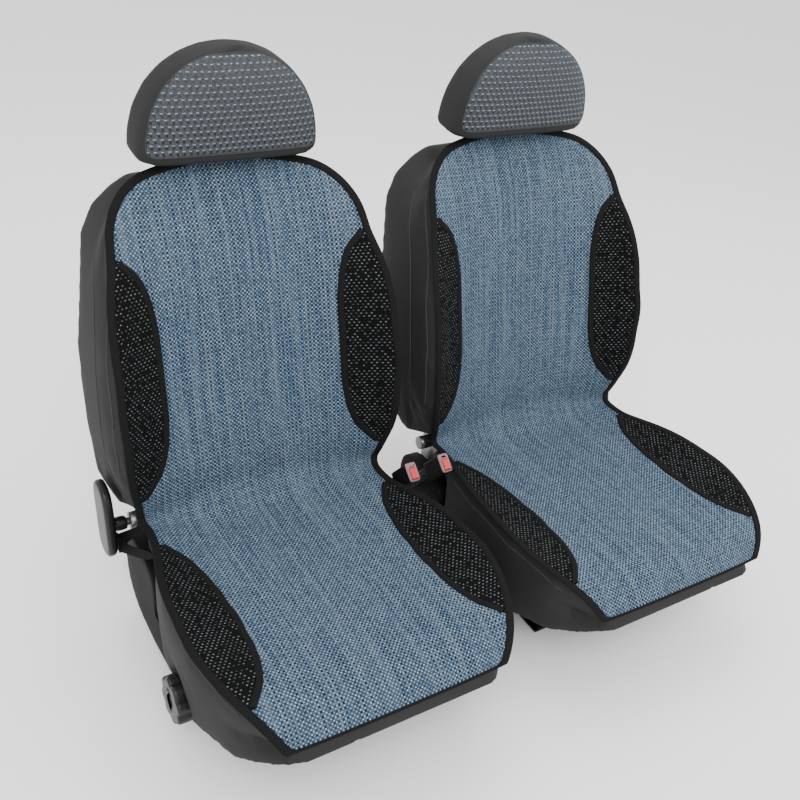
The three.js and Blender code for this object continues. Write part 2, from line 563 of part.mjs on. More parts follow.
function mirrored(geometry) {
  const flipped = geometry.clone().scale(-1, 1, 1);
  const indexed = flipped.index ? flipped : mergeVertices(flipped);
  turnInsideOut(indexed);
  return indexed;
}

// ---- One seat, drawn as the left one ------------------------------------------------------------
// out is the side away from the other seat, at -X; in is the side towards it.
function seatPieces() {
  const seamRows = leafRows(CUSHION_LEAF);
  const cushionRows = [0, 0.1, CUSHION_LEAF.start, ...seamRows, CUSHION_LEAF.end, 0.77, 0.84, 0.92, 1];
  const backRows = [0, 0.06, BACK_LEAF.start, ...leafRows(BACK_LEAF), BACK_LEAF.end, 0.77, 0.86, 0.93, 1];
  return {
    floor_rails: [floorRails(), MATERIALS.darkSteel],
    slider: [slider(), MATERIALS.darkSteel],
    cushion_pan: [cushionPan(), MATERIALS.darkSteel],
    hinge_plate_out: [hingePlate(-1), MATERIALS.steel],
    hinge_plate_in: [hingePlate(1), MATERIALS.steel],
    side_shield_out: [sideShield(-1), MATERIALS.plastic],
    side_shield_in: [sideShield(1), MATERIALS.plastic],
    cushion_pad: [cushionPad(), MATERIALS.upholstery],
    slide_bar: [slideBar(), MATERIALS.darkSteel],
    hand_wheel: [handWheel(-1), MATERIALS.plastic],
    recliner_shaft: [reclinerShaft(), MATERIALS.steel],
    recliner_handle: [reclinerHandle(), MATERIALS.plastic],
    back_frame: [backFrame(), MATERIALS.darkSteel],
    back_pad: [backPad(), MATERIALS.upholstery],
    back_panel: [backPanel(), MATERIALS.plastic],
    headrest_guide_out: [headrestGuide(-1), MATERIALS.plastic],
    headrest_guide_in: [headrestGuide(1), MATERIALS.plastic],
    guide_button: [guideButton(), MATERIALS.plastic],
    headrest_posts: [geometryOf(postsBody(POST.radius)), MATERIALS.steel],
    headrest_pad: [headrestPad(), MATERIALS.upholstery],
    buckle_stalk: [buckleStalk(), MATERIALS.darkSteel],
    buckle_body: [buckleBody(), MATERIALS.plastic],
    buckle_button: [buckleButton(), MATERIALS.red],
    seat_mat: [matGeometry(CUSHION, cushionLeaf, cushionWidth, cushionRows), MATERIALS.tweed],
    back_mat: [matGeometry(BACK, backLeaf, backWidth, backRows), MATERIALS.tweed],
    seat_side_out: [leafGeometry(CUSHION, CUSHION_LEAF, cushionLeaf, cushionWidth, -1), MATERIALS.spacerMesh],
    seat_side_in: [leafGeometry(CUSHION, CUSHION_LEAF, cushionLeaf, cushionWidth, 1), MATERIALS.spacerMesh],
    back_side_out: [leafGeometry(BACK, BACK_LEAF, backLeaf, backWidth, -1), MATERIALS.spacerMesh],
    back_side_in: [leafGeometry(BACK, BACK_LEAF, backLeaf, backWidth, 1), MATERIALS.spacerMesh],
    cover_strap: [coverStrap(), MATERIALS.elastic],
  };
}

const set = new THREE.Group();
for (const [side, sign] of [["left", -1], ["right", 1]]) {
  const seat = new THREE.Group();
  seat.position.set((sign * SEAT_PITCH) / 2, CREASE_BACKSET, CREASE_HEIGHT);
  for (const [name, [geometry, material]] of Object.entries(seatPieces())) {
    const mesh = new THREE.Mesh(sign < 0 ? geometry : mirrored(geometry), material);
    mesh.name = `${side}_${name}`;
    seat.add(mesh);
  }
  set.add(seat);
}

set.scale.setScalar(SIZE);

export default set;
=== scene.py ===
"""Looks of two slip-on seat covers, fitted on a pair of front seats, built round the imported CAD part."""
import json
import math

import bmesh
import bpy
import numpy as np
from mathutils import Matrix, Vector
from mathutils.bvhtree import BVHTree

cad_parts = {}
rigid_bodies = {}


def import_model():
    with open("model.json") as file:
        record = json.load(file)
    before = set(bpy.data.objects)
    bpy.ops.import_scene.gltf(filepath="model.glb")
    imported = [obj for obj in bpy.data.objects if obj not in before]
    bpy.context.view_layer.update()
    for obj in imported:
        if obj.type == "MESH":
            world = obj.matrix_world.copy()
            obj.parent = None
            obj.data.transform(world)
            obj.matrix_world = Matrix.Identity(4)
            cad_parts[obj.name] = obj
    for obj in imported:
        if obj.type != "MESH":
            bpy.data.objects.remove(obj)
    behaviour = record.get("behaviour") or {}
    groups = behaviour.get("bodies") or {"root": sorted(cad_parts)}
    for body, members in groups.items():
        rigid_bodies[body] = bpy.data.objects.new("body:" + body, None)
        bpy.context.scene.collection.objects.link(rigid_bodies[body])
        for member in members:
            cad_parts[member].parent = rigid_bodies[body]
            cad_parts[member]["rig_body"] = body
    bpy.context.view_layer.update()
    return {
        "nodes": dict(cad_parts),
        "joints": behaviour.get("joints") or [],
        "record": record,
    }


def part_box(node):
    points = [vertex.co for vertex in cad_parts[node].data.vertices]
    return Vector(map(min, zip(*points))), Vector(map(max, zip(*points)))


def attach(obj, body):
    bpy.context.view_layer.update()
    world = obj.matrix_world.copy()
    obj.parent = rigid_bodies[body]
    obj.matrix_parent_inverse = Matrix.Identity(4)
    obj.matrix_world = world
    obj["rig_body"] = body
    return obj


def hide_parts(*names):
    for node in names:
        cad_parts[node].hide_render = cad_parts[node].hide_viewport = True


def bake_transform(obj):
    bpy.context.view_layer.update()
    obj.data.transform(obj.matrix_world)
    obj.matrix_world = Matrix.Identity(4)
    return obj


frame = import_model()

MM = 0.001
JOINTS = {joint["name"]: joint for joint in frame["joints"]}
SLOTS = {part["node"]: part["material_slot"] for part in frame["record"]["subparts"]}
UP = Vector(JOINTS["left_headrest_height"]["axis"]).normalized()  # along the backrests
AHEAD = Vector((0, -UP.z, UP.y))  # out of their faces
SKY = Vector((0, -0.45, 0.9)).normalized()  # above the cushions and a little to the front
CENTRE_X = sum(v.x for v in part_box("left_seat_mat")) / 2  # centre plane of the left seat
SIDES = ((-1, "out"), (1, "in"))  # which way a side of the left seat lies, and its name
ZONES = ("seat", "back")

COVER_THICK = 3.2 * MM
LAP = 4 * MM  # cloth that one panel of a cover laps under the next
STEP = 4 * MM  # spacing of the points along the covers and their edges
ROW = 6 * MM  # the same, for side panels, seams and the roof
TAPE_HALF = 6 * MM  # half the width of the ribbed tape
TINY = 2 * MM  # step for measuring a direction on the cover
UNDER_COVER = 5.5 * MM  # the padding stays this far below the cover's top
PANEL_THICK = 1.8 * MM  # cloth of a headrest's front
PANEL_LIFT = 1.6 * MM  # and its height off the padding
PANEL_COLUMNS = 61
HEADREST_INSET = 13 * MM  # seam of that panel, in from the headrest's silhouette
SWELL_FRAMES = 20  # length of the cloth simulation that pads the upholstery

# Pitches of the patterns in the cloths
THREAD = 3.9 * MM
STITCH_ACROSS, STITCH_ALONG = 8.4 * MM, 5.8 * MM
TAPE_RIB = 4.2 * MM
DASH_ACROSS, DASH_ALONG = 11.5 * MM, 10.5 * MM
FINE_WEAVE = 1.5 * MM
WEBBING_RIB = 2.4 * MM


# ---- Materials -----------------------------------------------------------------------------------
class Nodes:
    """A short way to write a shader: each call adds a node and returns its output."""

    def __init__(self, name):
        self.material = bpy.data.materials.new(name)
        self.material.use_nodes = True
        self.tree = self.material.node_tree
        self.shader = self.tree.nodes["Principled BSDF"]

    def put(self, value, socket):
        if isinstance(value, bpy.types.NodeSocket):
            self.tree.links.new(value, socket)
        else:
            socket.default_value = value

    def math(self, operation, a, b=0.0, c=0.0):
        node = self.tree.nodes.new("ShaderNodeMath")
        node.operation = operation
        for socket, value in zip(node.inputs, (a, b, c)):
            self.put(value, socket)
        return node.outputs[0]

    def mix(self, factor, a, b):
        node = self.tree.nodes.new("ShaderNodeMix")
        node.data_type = "RGBA"
        self.put(factor, node.inputs["Factor"])
        self.put(a, node.inputs[6])
        self.put(b, node.inputs[7])
        return node.outputs[2]

    def noise(self, vector, scale, detail=2.0):
        node = self.tree.nodes.new("ShaderNodeTexNoise")
        self.put(vector, node.inputs["Vector"])
        node.inputs["Scale"].default_value = scale
        node.inputs["Detail"].default_value = detail
        return node.outputs["Fac"]

    def scaled(self, vector, factors):
        node = self.tree.nodes.new("ShaderNodeVectorMath")
        node.operation = "MULTIPLY"
        self.put(vector, node.inputs[0])
        node.inputs[1].default_value = factors
        return node.outputs[0]

    def coordinates(self, which):
        node = self.tree.nodes.new("ShaderNodeTexCoord")
        return node.outputs[which]

    def split(self, vector):
        node = self.tree.nodes.new("ShaderNodeSeparateXYZ")
        self.put(vector, node.inputs[0])
        return node.outputs[0], node.outputs[1], node.outputs[2]

    def uv(self):
        return self.split(self.coordinates("UV"))[:2]

    def joined(self, x, y, z=0.0):
        node = self.tree.nodes.new("ShaderNodeCombineXYZ")
        for socket, value in zip(node.inputs, (x, y, z)):
            self.put(value, socket)
        return node.outputs[0]

    def random(self, vector):
        node = self.tree.nodes.new("ShaderNodeTexWhiteNoise")
        node.noise_dimensions = "2D"
        self.put(vector, node.inputs["Vector"])
        return node.outputs["Value"]

    def bump(self, height, distance, strength=1.0):
        node = self.tree.nodes.new("ShaderNodeBump")
        node.inputs["Strength"].default_value = strength
        node.inputs["Distance"].default_value = distance
        self.put(height, node.inputs["Height"])
        self.put(node.outputs[0], self.shader.inputs["Normal"])

    def surface(self, color, roughness, metallic=0.0, **extra):
        self.put(color, self.shader.inputs["Base Color"])
        self.put(roughness, self.shader.inputs["Roughness"])
        self.put(metallic, self.shader.inputs["Metallic"])
        for name, value in extra.items():
            self.put(value, self.shader.inputs[name.replace("_", " ")])
        return self.material


def rgb(r, g, b):
    return (r, g, b, 1.0)


def shaded(tone, factor):
    return rgb(*(c * factor for c in tone))


def thread_cells(n, pitch):
    """Whole-number cells of a grid over the UV map, and the place inside each cell from 0 to 1."""
    u, v = n.uv()
    a, b = n.math("DIVIDE", u, pitch), n.math("DIVIDE", v, pitch)
    return n.math("FLOOR", a), n.math("FLOOR", b), n.math("FRACT", a), n.math("FRACT", b)


def staggered_cells(n, across, along):
    """Rows of cells over the UV map, every other row half a cell on: the row, and the place in cells."""
    u, v = n.uv()
    a, b = n.math("DIVIDE", u, across), n.math("DIVIDE", v, along)
    row = n.math("FLOOR", b)
    odd = n.math("MODULO", n.math("ABSOLUTE", row), 2.0)
    return row, n.math("ADD", a, n.math("MULTIPLY", odd, 0.5)), b


def tweed():
    """Plain weave with streaks up the cloth: pale threads at every other crossing, blue and black between."""
    n = Nodes("tweed")
    i, j, a, b = thread_cells(n, THREAD)
    odd_i = n.math("MODULO", n.math("ABSOLUTE", i), 2.0)
    odd_j = n.math("MODULO", n.math("ABSOLUTE", j), 2.0)
    crossing = n.math("ABSOLUTE", n.math("SUBTRACT", odd_i, odd_j))
    cell = n.random(n.joined(i, j))
    column = n.random(n.joined(i, 7.0))
    streak = n.noise(n.joined(n.math("MULTIPLY", i, 0.6), n.math("MULTIPLY", j, 0.012)), 1.0, 3.0)
    blue = n.mix(column, rgb(0.012, 0.055, 0.14), rgb(0.036, 0.10, 0.21))
    black = n.mix(cell, rgb(0.002, 0.005, 0.010), rgb(0.014, 0.028, 0.05))
    pale = n.mix(cell, rgb(0.105, 0.155, 0.20), rgb(0.27, 0.345, 0.41))
    color = n.mix(crossing, pale, n.mix(odd_i, black, blue))
    # Painted shade: each thread cell darkens towards its edges, near black between the threads, so the
    # threads look round.
    edge = n.math("MULTIPLY", n.math("PINGPONG", a, 0.5), n.math("PINGPONG", b, 0.5))
    shade = n.math("MINIMUM", n.math("MULTIPLY_ADD", edge, 5.0, 0.22), 1.0)
    color = n.mix(shade, rgb(0.003, 0.006, 0.012), color)
    faded = n.math("MAXIMUM", n.math("MULTIPLY_ADD", streak, 2.4, -1.1), 0.0)
    worn = n.math("MAXIMUM", n.math("MULTIPLY_ADD", streak, -2.4, 1.1), 0.0)
    color = n.mix(n.math("MULTIPLY", faded, 0.45), color, rgb(0.15, 0.20, 0.24))
    color = n.mix(n.math("MULTIPLY", worn, 0.6), color, rgb(0.008, 0.03, 0.075))
    n.bump(edge, 1.2 * MM, 0.5)
    return n.surface(color, 0.9, Specular_IOR_Level=0.15)


def spacer_mesh():
    """Black knitted mesh with rows of small pale stitches."""
    n = Nodes("spacer_mesh")
    row, shifted, b = staggered_cells(n, STITCH_ACROSS, STITCH_ALONG)
    along = n.math("ABSOLUTE", n.math("SUBTRACT", n.math("FRACT", shifted), 0.5))
    up = n.math("ABSOLUTE", n.math("SUBTRACT", n.math("FRACT", b), 0.5))
    cell = n.math("FLOOR", shifted)
    keep = n.math("GREATER_THAN", n.random(n.joined(cell, row)), 0.16)
    glint = n.random(n.joined(n.math("ADD", cell, 31.0), row))
    dot = n.math("MULTIPLY", n.math("LESS_THAN", along, 0.17), n.math("LESS_THAN", up, 0.17))
    dot = n.math("MULTIPLY", n.math("MULTIPLY", dot, keep), n.math("MULTIPLY_ADD", glint, 0.8, 0.2))
    hole = n.math("MULTIPLY", n.math("PINGPONG", n.math("MULTIPLY", shifted, 3.0), 0.5),
                  n.math("PINGPONG", n.math("MULTIPLY", b, 3.0), 0.5))
    ground = n.mix(n.math("MULTIPLY", hole, 4.0), rgb(0.0015, 0.0015, 0.0017), rgb(0.009, 0.009, 0.0095))
    n.bump(n.math("ADD", hole, n.math("MULTIPLY", dot, 0.3)), 1.5 * MM, 0.8)
    return n.surface(n.mix(dot, ground, rgb(0.13, 0.145, 0.15)), 0.95, Specular_IOR_Level=0.08)


def ribbed_tape():
    """Black binding tape with slanting ribs."""
    n = Nodes("ribbed_tape")
    u, v = n.uv()
    fold = n.math("PINGPONG", v, TAPE_HALF)
    rib = n.math("PINGPONG", n.math("DIVIDE", n.math("ADD", u, fold), TAPE_RIB), 0.5)
    color = n.mix(rib, rgb(0.0012, 0.0012, 0.0013), rgb(0.022, 0.022, 0.0225))
    n.bump(rib, 1.2 * MM, 0.9)
    return n.surface(color, 0.85, Specular_IOR_Level=0.1)


def upholstery(name="upholstery", tone=0.014):
    """Smooth, dense, dark grey seat cloth."""
    n = Nodes(name)
    at = n.coordinates("Object")
    broad = n.noise(at, 9.0, 3.0)
    grain = n.noise(at, 900.0, 2.0)
    dark = rgb(tone * 0.85, tone * 0.86, tone * 0.88)
    light = rgb(tone * 1.15, tone * 1.16, tone * 1.16)
    color = n.mix(broad, dark, light)
    color = n.mix(n.math("MULTIPLY", grain, 0.35), color, shaded((tone, tone, tone), 1.7))
    n.bump(n.math("ADD", n.math("MULTIPLY", broad, 2.0), n.math("MULTIPLY", grain, 0.12)), 2.0 * MM, 0.35)
    return n.surface(color, 0.75, Specular_IOR_Level=0.2)


def headrest_cloth():
    """Grey cloth with rows of pale blue dashes between dark squares."""
    n = Nodes("headrest_cloth")
    _, v = n.uv()
    _, shifted, b = staggered_cells(n, DASH_ACROSS, DASH_ALONG)
    along, up = n.math("FRACT", shifted), n.math("FRACT", b)
    dash = n.math("MULTIPLY", n.math("LESS_THAN", along, 0.42), n.math("LESS_THAN", up, 0.16))
    level = n.math("LESS_THAN", n.math("ABSOLUTE", n.math("SUBTRACT", up, 0.62)), 0.22)
    square = n.math("MULTIPLY", n.math("GREATER_THAN", along, 0.62), level)
    i, j, _, _ = thread_cells(n, FINE_WEAVE)
    fine = n.random(n.joined(i, j))
    ground = n.mix(fine, rgb(0.02, 0.022, 0.024), rgb(0.062, 0.067, 0.074))
    # The squares show more towards the foot of the panel.
    deep = n.math("MULTIPLY_ADD", n.math("MULTIPLY", v, -1.0), 6.0, 0.55)
    deep = n.math("MINIMUM", n.math("MAXIMUM", deep, 0.25), 1.0)
    color = n.mix(n.math("MULTIPLY", square, deep), ground, rgb(0.004, 0.006, 0.010))
    color = n.mix(dash, color, rgb(0.17, 0.23, 0.27))
    n.bump(n.math("ADD", n.math("MULTIPLY", dash, 0.5), n.math("MULTIPLY", fine, 0.3)), 1.0 * MM, 0.7)
    return n.surface(color, 0.82, Sheen_Weight=0.03, Sheen_Roughness=0.4, Specular_IOR_Level=0.3)


def plastic(name="plastic", tone=(0.006, 0.0058, 0.0054), roughness=0.34, shine=0.32):
    """Black moulded plastic with a fine grain and rubbed patches."""
    n = Nodes(name)
    at = n.coordinates("Object")
    grain = n.noise(at, 700.0, 3.0)
    rubbed = n.noise(at, 14.0, 4.0)
    n.bump(grain, 0.25 * MM, 0.5)
    color = n.mix(rubbed, shaded(tone, 0.8), shaded(tone, 1.3))
    rough = n.math("MULTIPLY_ADD", rubbed, 0.16, roughness - 0.06)
    return n.surface(color, rough, Specular_IOR_Level=shine)


def metal(name, tone, roughness):
    """Metal with fine scratches, or paint over it when the tone is dark."""
    n = Nodes(name)
    at = n.coordinates("Object")
    scratch = n.noise(n.scaled(at, (1.0, 0.08, 0.08)), 600.0, 3.0)
    stain = n.noise(at, 22.0, 4.0)
    n.bump(scratch, 0.1 * MM, 0.4)
    color = n.mix(stain, shaded(tone, 0.8), shaded(tone, 1.1))
    return n.surface(color, n.math("MULTIPLY_ADD", stain, 0.2, roughness - 0.1), 0.9)


def webbing():
    """Flat woven elastic with fine ribs."""
    n = Nodes("webbing")
    _, y, z = n.split(n.coordinates("Object"))
    rib = n.math("PINGPONG", n.math("DIVIDE", n.math("ADD", z, y), WEBBING_RIB), 0.5)
    n.bump(rib, 0.8 * MM, 0.6)
    color = n.mix(rib, rgb(0.002, 0.002, 0.0022), rgb(0.011, 0.011, 0.0115))
    return n.surface(color, 0.8, Specular_IOR_Level=0.1)


def button_plastic():
    """Translucent red button."""
    n = Nodes("button_red")
    cloud = n.noise(n.coordinates("Object"), 60.0, 2.0)
    color = n.mix(cloud, rgb(0.34, 0.004, 0.010), rgb(0.42, 0.010, 0.018))
    n.bump(cloud, 0.1 * MM, 0.2)
    return n.surface(color, 0.22, Coat_Weight=0.15, Coat_Roughness=0.1)


MATERIALS = {
    "tweed": tweed(),
    "spacer_mesh": spacer_mesh(),
    "tape": ribbed_tape(),
    "upholstery": upholstery(),
    "piping": upholstery("piping", 0.03),
    "headrest_cloth": headrest_cloth(),
    "plastic": plastic(),
    "matt_plastic": plastic("matt_plastic", (0.005, 0.005, 0.005), 0.65, 0.12),
    "bezel": plastic("bezel", (0.22, 0.14, 0.14), 0.4),
    "steel": metal("steel", (0.22, 0.22, 0.215), 0.32),
    "dark_steel": metal("dark_steel", (0.010, 0.010, 0.011), 0.45),
    "elastic": webbing(),
    "button_red": button_plastic(),
}


# ---- Mesh tools ----------------------------------------------------------------------------------
def new_object(name, vertices, faces, uvs=None):
    mesh = bpy.data.meshes.new(name)
    mesh.from_pydata([tuple(v) for v in vertices], [], faces)
    if uvs is not None:
        layer = mesh.uv_layers.new(name="UVMap")
        flat = [uvs[loop.vertex_index] for loop in mesh.loops]
        layer.data.foreach_set("uv", np.array(flat, np.float32).ravel())
    mesh.update()
    mesh.shade_smooth()
    obj = bpy.data.objects.new(name, mesh)
    bpy.context.scene.collection.objects.link(obj)
    return obj


def welded(node, name):
    """A copy of a CAD node with its corners welded, ready to be worked on."""
    mesh = frame["nodes"][node].data.copy()
    work = bmesh.new()
    work.from_mesh(mesh)
    bmesh.ops.remove_doubles(work, verts=work.verts, dist=1e-5)
    work.to_mesh(mesh)
    work.free()
    obj = bpy.data.objects.new(name, mesh)
    bpy.context.scene.collection.objects.link(obj)
    obj.data.materials.clear()
    return obj


def apply_modifiers(obj):
    graph = bpy.context.evaluated_depsgraph_get()
    mesh = bpy.data.meshes.new_from_object(obj.evaluated_get(graph))
    obj.modifiers.clear()
    obj.data = mesh
    return obj


def positions(obj):
    co = np.empty(len(obj.data.vertices) * 3, np.float32)
    obj.data.vertices.foreach_get("co", co)
    return co.reshape(-1, 3).astype(float)


def normals(obj):
    out = np.empty(len(obj.data.vertices) * 3, np.float32)
    obj.data.vertex_normals.foreach_get("vector", out)
    return out.reshape(-1, 3).astype(float)


def move_to(obj, points):
    obj.data.vertices.foreach_set("co", np.asarray(points, np.float32).ravel())
    obj.data.update()


def tree_of(*objects):
    """One ray-cast tree over several meshes, and for each of its faces the number of the mesh it is from."""
    vertices, faces, owner = [], [], []
    for k, obj in enumerate(objects):
        base = len(vertices)
        vertices += [v.co.copy() for v in obj.data.vertices]
        for polygon in obj.data.polygons:
            faces.append([base + i for i in polygon.vertices])
            owner.append(k)
    return BVHTree.FromPolygons(vertices, faces), owner


def grid_faces(rows, columns, closed=False):
    """Quads of a grid of points; closed joins the last row to the first."""
    faces = []
    for i in range(rows if closed else rows - 1):
        for j in range(columns - 1):
            a, b = i * columns + j, ((i + 1) % rows) * columns + j
            faces.append((a, a + 1, b + 1, b))
    return faces


def blurred(values, sigma, axis=0, loop=False):
    """Gaussian blur along one axis of an array; sigma is in samples."""
    reach = int(sigma * 3) + 1
    weights = np.exp(-0.5 * (np.arange(-reach, reach + 1) / sigma) ** 2)
    weights /= weights.sum()
    data = np.moveaxis(np.asarray(values, float), axis, 0)
    pad = [(reach, reach)] + [(0, 0)] * (data.ndim - 1)
    if loop:
        padded = np.pad(data, pad, mode="wrap")
    else:
        padded = np.pad(data, pad, mode="reflect", reflect_type="odd")
    out = sum(w * padded[k:k + len(data)] for k, w in enumerate(weights))
    return np.moveaxis(out, 0, axis)


def run_along(points):
    """How far each of a row of points is from the first, along the row."""
    steps = np.linalg.norm(np.diff(np.asarray(points, float), axis=0), axis=1)
    return np.concatenate([[0], np.cumsum(steps)])


def mirrored_copy(obj, name):
    """The same piece on the right seat."""
    copy = obj.copy()
    copy.data = obj.data.copy()
    copy.name = name
    bpy.context.scene.collection.objects.link(copy)
    copy.data.transform(Matrix.Diagonal((-1, 1, 1, 1)))
    copy.data.flip_normals()
    return copy


# ---- The covers' surface -------------------------------------------------------------------------
class CoverSurface:
    """The top of the left seat's cover as one smooth map from (t, x): t runs from the cushion's front edge
    over the crease to the top of the backrest, and x is the distance from the seat's centre plane."""

    ACROSS = 3 * MM  # spacing of the samples in x
    REACH = 0.31  # how far they go
    CREASE_GAP = 45 * MM  # the two CAD mats part this near the crease
    LEAST_PANEL = 9 * MM  # a narrower strip than this has no side panel

    def __init__(self):
        seat = self.middle_line("left_seat_mat", SKY, lambda p: -p.y)[::-1]
        back = self.middle_line("left_back_mat", AHEAD, lambda p: p.dot(UP))
        chain = np.array([[p.y, p.z] for p in [*seat, *back]])
        run = run_along(chain)
        self.length = run[-1]
        self.rows = int(self.length / STEP) + 1
        self.t = np.linspace(0, self.length, self.rows)
        line = np.stack([np.interp(self.t, run, chain[:, k]) for k in range(2)], 1)
        self.line = blurred(line, 14 * MM / STEP)
        last = len(seat) - 1
        self.t_crease = run[last] + 0.5 * (run[last + 1] - run[last])
        tangent = np.gradient(self.line, axis=0)
        tangent /= np.linalg.norm(tangent, axis=1, keepdims=True)
        self.normal = np.stack([-tangent[:, 1], tangent[:, 0]], 1)
        if self.normal[5] @ np.array([SKY.y, SKY.z]) < 0:
            self.normal = -self.normal
        self.sample()

    @staticmethod
    def middle_line(node, outward, order):
        """The vertices of a mat's top that lie in the seat's centre plane, in order."""
        obj = welded(node, "line")
        found = [v.co.copy() for v in obj.data.vertices
                 if abs(v.co.x - CENTRE_X) < 1e-4 and v.normal.dot(outward) > 0]
        bpy.data.objects.remove(obj)
        return sorted(found, key=order)

    def start_of_rays(self, t):
        """How far off the middle line the rays of a row start: less near the crease, to stay inside it."""
        past = t - self.t_crease
        most = 0.10 if past > 0 else 0.06
        return min(0.04 + 0.5 * max(abs(past) - 0.03, 0), most)

    def sample(self):
        """Measures the CAD covers' height off the middle line, their outer edge and the seam inside it."""
        mats = ["left_seat_mat", "left_back_mat"]
        panels = ["left_seat_side_in", "left_back_side_in"]
        tree, owner = tree_of(*[frame["nodes"][n] for n in mats + panels])
        self.dx = self.ACROSS
        count = int(self.REACH / self.dx)
        height = np.full((self.rows, count), np.nan)
        width, leaf = np.zeros(self.rows), np.zeros(self.rows)
        for i, t in enumerate(self.t):
            lift = self.start_of_rays(t)
            p, n = Vector((0, *self.line[i])), Vector((0, *self.normal[i]))
            for k in range(count):
                origin = p + n * lift
                origin.x = CENTRE_X + k * self.dx
                hit, _, face, far = tree.ray_cast(origin, -n, lift + 0.05)
                if hit is None:
                    continue
                height[i, k] = lift - far
                width[i] = k * self.dx
                if owner[face] < len(mats):
                    leaf[i] = k * self.dx
        width += 0.5 * self.dx
        open_rows = np.abs(self.t - self.t_crease) > self.CREASE_GAP
        width = np.interp(self.t, self.t[open_rows], width[open_rows])
        leaf = np.where(open_rows, leaf, width)
        self.has_leaf = width - leaf > self.LEAST_PANEL
        for i in range(self.rows):
            good = np.isfinite(height[i])
            place = np.arange(count)
            if good.sum() > 3:
                height[i] = np.interp(place, place[good], height[i][good])
            else:
                height[i] = height[i - 1]
        height = blurred(np.concatenate([height[:, :0:-1], height], 1), 11 * MM / self.dx, 1)
        self.height = blurred(height[:, count - 1:], 16 * MM / STEP, 0) + 0.6 * MM
        self.width = blurred(width, 12 * MM / STEP)
        self.leaf = blurred(leaf, 7 * MM / STEP)

    def at(self, t, x, lift=0.0):
        """The point at (t, x), lifted off the surface along its normal."""
        t = np.atleast_1d(np.asarray(t, float))
        x = np.broadcast_to(np.asarray(x, float), t.shape)
        i = np.clip(t / self.length * (self.rows - 1), 0, self.rows - 1.001)
        k = np.clip(np.abs(x) / self.dx, 0, self.height.shape[1] - 1.001)
        i0, k0 = i.astype(int), k.astype(int)
        a, b = i - i0, k - k0
        h = ((1 - a) * (1 - b) * self.height[i0, k0] + a * (1 - b) * self.height[i0 + 1, k0]
             + (1 - a) * b * self.height[i0, k0 + 1] + a * b * self.height[i0 + 1, k0 + 1])
        a = a[:, None]
        line = (1 - a) * self.line[i0] + a * self.line[i0 + 1]
        normal = (1 - a) * self.normal[i0] + a * self.normal[i0 + 1]
        normal /= np.linalg.norm(normal, axis=1, keepdims=True)
        yz = line + normal * h[:, None]
        points = np.column_stack([CENTRE_X + x, yz])
        if np.any(np.asarray(lift) != 0):
            points = points + self.normal_at(t, x) * np.broadcast_to(lift, t.shape)[:, None]
        return points

    def normal_at(self, t, x):
        along = self.at(t + TINY, x) - self.at(t - TINY, x)
        across = self.at(t, x + TINY) - self.at(t, x - TINY)
        n = np.cross(across, along)
        return n / np.linalg.norm(n, axis=1, keepdims=True)

    def half_width(self, t):
        """From the centre plane to the cover's outer edge."""
        return np.interp(t, self.t, self.width)

    def leaf_edge(self, t):
        """From the centre plane to the seam where a side panel starts."""
        return np.interp(t, self.t, self.leaf)

    def leaf_spans(self):
        """The stretches of t that have side panels: on the cushion, then on the backrest."""
        marks = np.flatnonzero(np.diff(np.concatenate([[0], self.has_leaf.astype(int), [0]])))
        fewest = 20  # rows in a stretch
        return [(self.t[a], self.t[b - 1]) for a, b in zip(marks[::2], marks[1::2]) if b - a > fewest]

    def panel_size(self, start, end):
        """The greatest width and the area of the side panel between two values of t, laid flat."""
        rows = np.arange(start, end, STEP)
        inner, outer = self.leaf_edge(rows), self.half_width(rows)
        across = [self.at(rows, inner + (outer - inner) * share) for share in np.linspace(0, 1, 9)]
        widths = sum(np.linalg.norm(b - a, axis=1) for a, b in zip(across, across[1:]))
        return float(widths.max()), float(widths.sum() * STEP)


def cloth_grid(name, surface, t_rows, x_of, columns, lift=0.0):
    """A single layer of cloth over rows of t, with x_of(t, share) giving x for share 0 to 1 across."""
    t = np.repeat(t_rows, columns)
    x = x_of(t, np.tile(np.linspace(0, 1, columns), len(t_rows)))
    points = surface.at(t, x, lift)
    return new_object(name, points, grid_faces(len(t_rows), columns), np.column_stack([x, t]))


def thicken(obj, thickness):
    """Gives a single layer of cloth its thickness, on the side towards the seat."""
    solid = obj.modifiers.new("thickness", "SOLIDIFY")
    solid.thickness = thickness
    facing = Vector(obj.data.polygons[len(obj.data.polygons) // 2].normal)
    solid.offset = -1 if facing.dot(SKY + AHEAD) > 0 else 1
    apply_modifiers(obj)
    obj.data.shade_smooth()
    return obj


def tape_along(name, surface, path, inward, profile, closed):
    """A tape that follows a path of (t, x) on the cover. profile lists (distance inward, lift) across it."""
    points = surface.at(path[:, 0], path[:, 1])
    normal = surface.normal_at(path[:, 0], path[:, 1])
    beside = path - inward * TINY
    outward = surface.at(beside[:, 0], beside[:, 1]) - points
    outward /= np.linalg.norm(outward, axis=1, keepdims=True)
    rings = []
    for distance, lift in profile:
        if distance < 0:
            at = points - outward * distance
        else:
            place = path + inward * distance
            at = surface.at(place[:, 0], place[:, 1])
        rings.append(at + normal * lift)
    grid = np.stack(rings, 1)
    uvs = [(along, across) for along in run_along(points) for across in run_along(profile)]
    return new_object(name, grid.reshape(-1, 3), grid_faces(len(path), len(profile), closed), uvs)


def inward_of(path, closed):
    """Unit vectors to the left of a path in the (t, x) plane."""
    if closed:
        step = np.roll(path, -1, 0) - np.roll(path, 1, 0)
    else:
        step = np.gradient(path, axis=0)
    step /= np.linalg.norm(step, axis=1, keepdims=True) + 1e-12
    return np.stack([-step[:, 1], step[:, 0]], 1)


